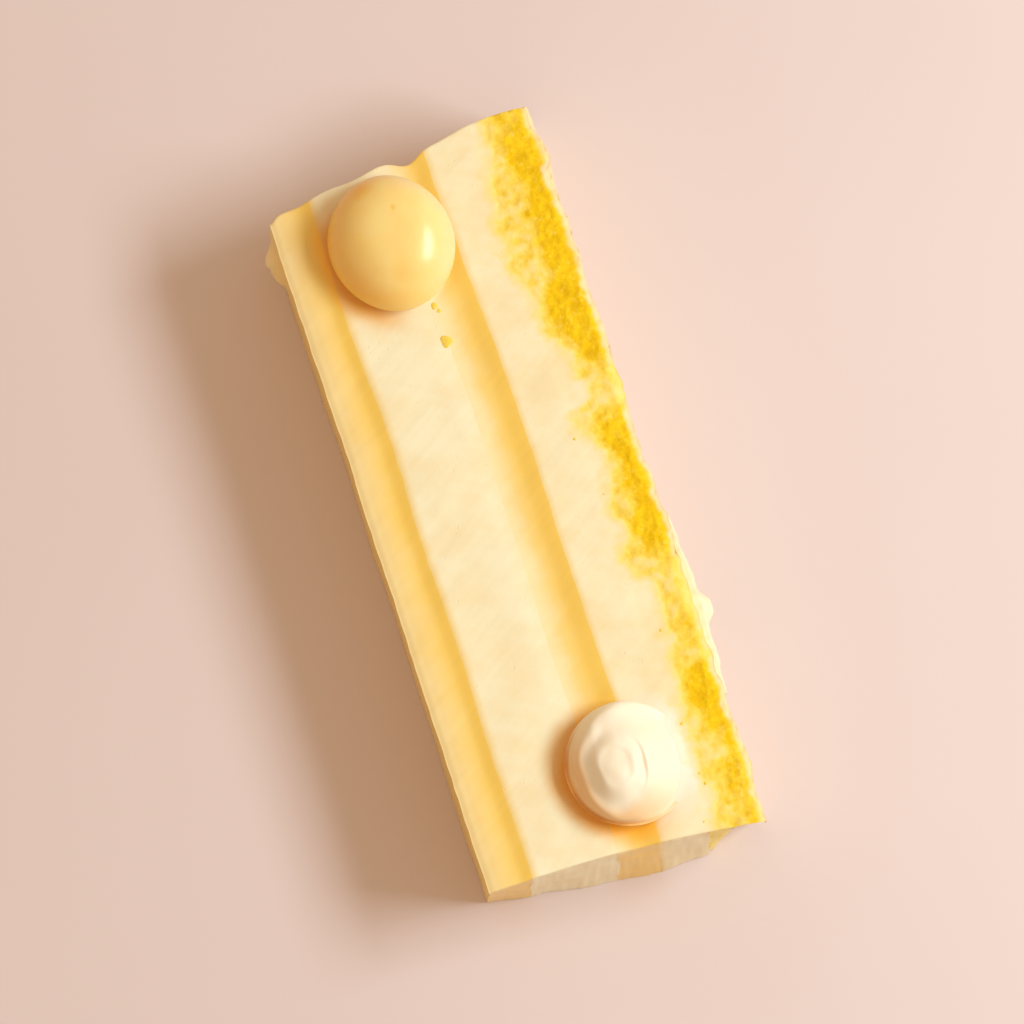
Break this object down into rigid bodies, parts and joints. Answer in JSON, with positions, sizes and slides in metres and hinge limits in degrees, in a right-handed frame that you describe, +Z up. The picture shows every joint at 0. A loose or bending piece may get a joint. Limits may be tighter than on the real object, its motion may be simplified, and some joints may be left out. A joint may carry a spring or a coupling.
{
  "type": "layered cake slice",
  "caption": "Slice of layered cake on its cut side: sponge, curd and cream layers stand side by side, with a piped custard dot and a piped cream dot on top.",
  "frame": {"origin": "middle of the bounding box at the surface that the slice lies on", "axes": "+Y along the slice, +X across the layers from the curd side to the sponge side, +Z up"},
  "size_m": [0.0396, 0.0946, 0.0239],
  "materials": {
    "lemon_curd": "soft satin, pale to golden yellow set curd",
    "white_cream": "smooth matt whipped cream",
    "sponge_crumb": "open matt crumb, strong yellow",
    "custard": "glossy set custard"
  },
  "bodies": {
    "root": {"top_curd": "lemon_curd", "wide_cream": "white_cream", "middle_curd": "lemon_curd", "narrow_cream": "white_cream", "madeleine_sponge": "sponge_crumb", "custard_dot": "custard", "cream_dot": "white_cream", "side_ribbon": "white_cream"}
  },
  "joints": []
}
